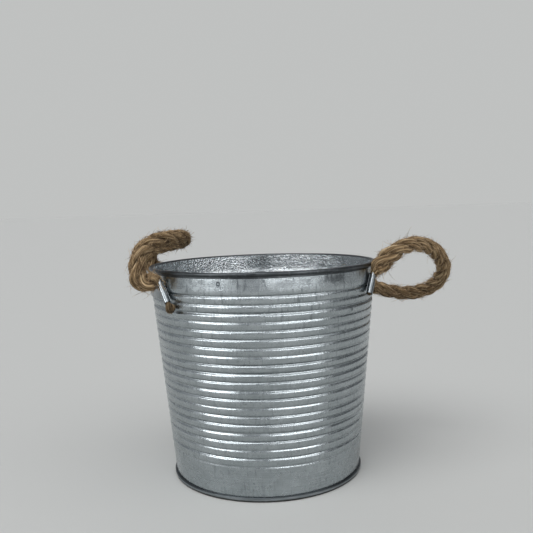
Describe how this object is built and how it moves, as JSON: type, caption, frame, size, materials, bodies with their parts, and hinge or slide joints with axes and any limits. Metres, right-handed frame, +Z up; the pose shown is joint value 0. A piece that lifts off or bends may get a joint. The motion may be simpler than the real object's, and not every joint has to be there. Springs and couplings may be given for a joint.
{
  "type": "florist bucket",
  "caption": "Tapered ribbed zinc flower bucket with a rolled rim, a recessed base and a rope loop handle on each side.",
  "frame": {"origin": "centre of the footprint, on the ground under the base bead", "axes": "+Z up, +X towards the right-hand handle, -X towards the left-hand handle, -Y is the front, +Y is the back with the side seam"},
  "size_m": [0.3457, 0.24, 0.2518],
  "materials": {
    "zinc_wall": "galvanised zinc, dull blue-grey with a faint spangle",
    "zinc_base": "galvanised zinc, dull blue-grey",
    "zinc_ear": "zinc plated, brighter than the wall",
    "steel_rivet": "zinc plated",
    "steel_wire": "plain steel wire, hidden in the rim",
    "rope_jute": "natural jute, three strands, hairy"
  },
  "bodies": {
    "root": {"body_wall": "zinc_wall", "rim_wire": "steel_wire", "base_pan": "zinc_base", "ear_plate_right": "zinc_ear", "ear_rivets_right": "steel_rivet", "rope_ends_right": "rope_jute", "ear_plate_left": "zinc_ear", "ear_rivets_left": "steel_rivet", "rope_ends_left": "rope_jute"},
    "right_loop": {"rope_loop_right": "rope_jute"},
    "left_loop": {"rope_loop_left": "rope_jute"}
  },
  "joints": [
    {"name": "right_loop_swing", "type": "hinge", "parent": "root", "child": "right_loop", "pos_m": [0.12, 0, 0.209], "axis": [0, -1, 0], "range_deg": [-22, 45]},
    {"name": "left_loop_swing", "type": "hinge", "parent": "root", "child": "left_loop", "pos_m": [-0.12, 0, 0.209], "axis": [0, 1, 0], "range_deg": [-78, 45]}
  ]
}
